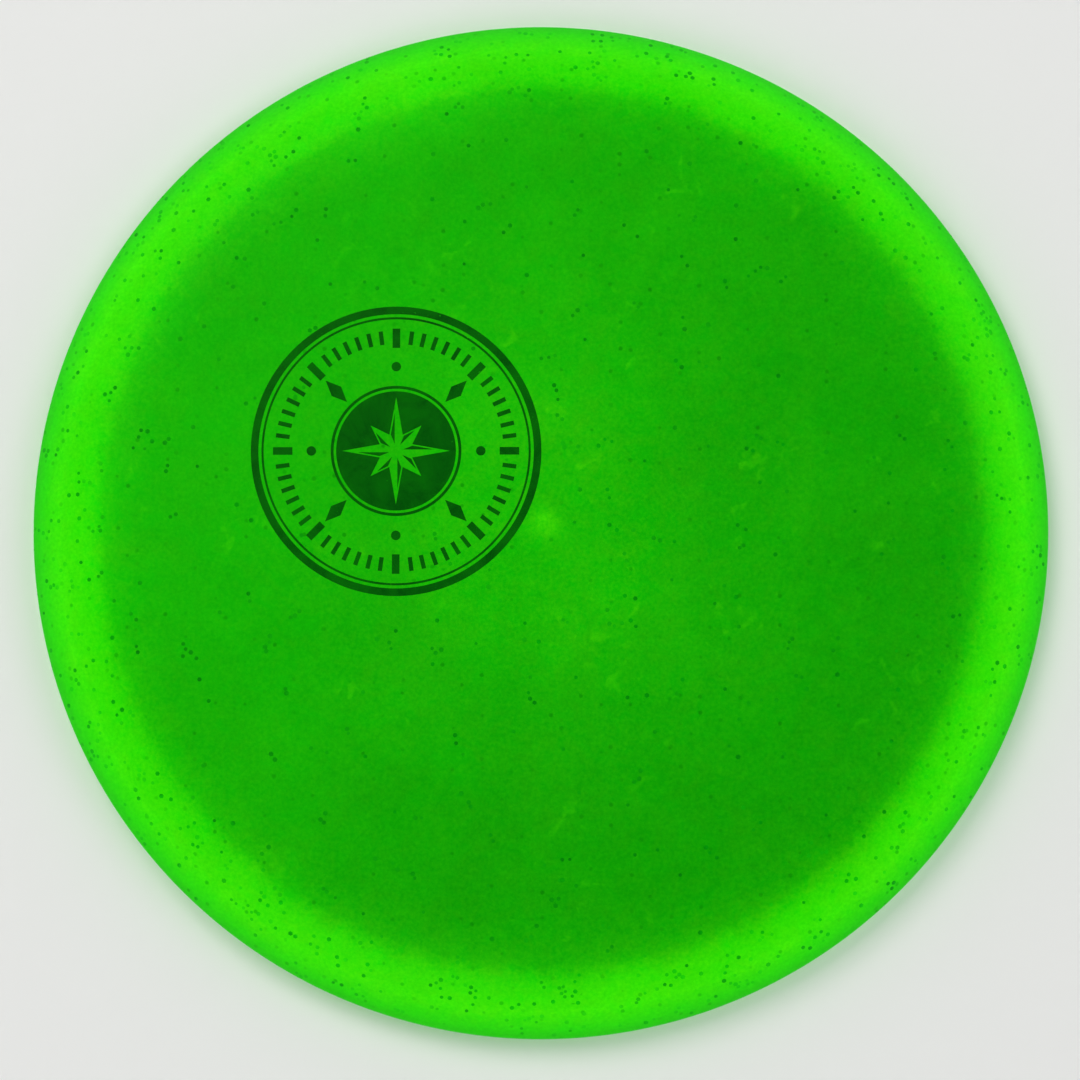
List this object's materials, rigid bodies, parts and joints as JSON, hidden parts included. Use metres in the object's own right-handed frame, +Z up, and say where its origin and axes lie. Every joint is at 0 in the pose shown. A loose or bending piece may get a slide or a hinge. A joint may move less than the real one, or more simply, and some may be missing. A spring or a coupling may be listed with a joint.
{
  "type": "flying disc",
  "caption": "Green glow-in-the-dark golf disc: a one-piece moulded plate and thick rim, with dark flakes in the plastic and a round foil stamp off centre on top.",
  "frame": {"origin": "centre of the rim's resting plane, below the middle of the flight plate", "axes": "+Z up through the domed flight plate; +X and +Y in the resting plane, with the stamp in the -X +Y quarter"},
  "size_m": [0.217, 0.217, 0.0187],
  "materials": {
    "glow_plastic": "satin translucent phosphorescent plastic",
    "stamp_foil": "satin dark foil film",
    "flake": "dark glitter flake"
  },
  "bodies": {
    "root": {"disc_body": "glow_plastic", "stamp_outer_ring": "stamp_foil", "stamp_inner_ring": "stamp_foil", "stamp_dial_major": "stamp_foil", "stamp_dial_minor": "stamp_foil", "stamp_side_marks": "stamp_foil", "stamp_badge_border": "stamp_foil", "stamp_badge_field": "stamp_foil", "stamp_star_facets": "stamp_foil", "flakes_rim": "flake", "flakes_plate": "flake"}
  },
  "joints": []
}
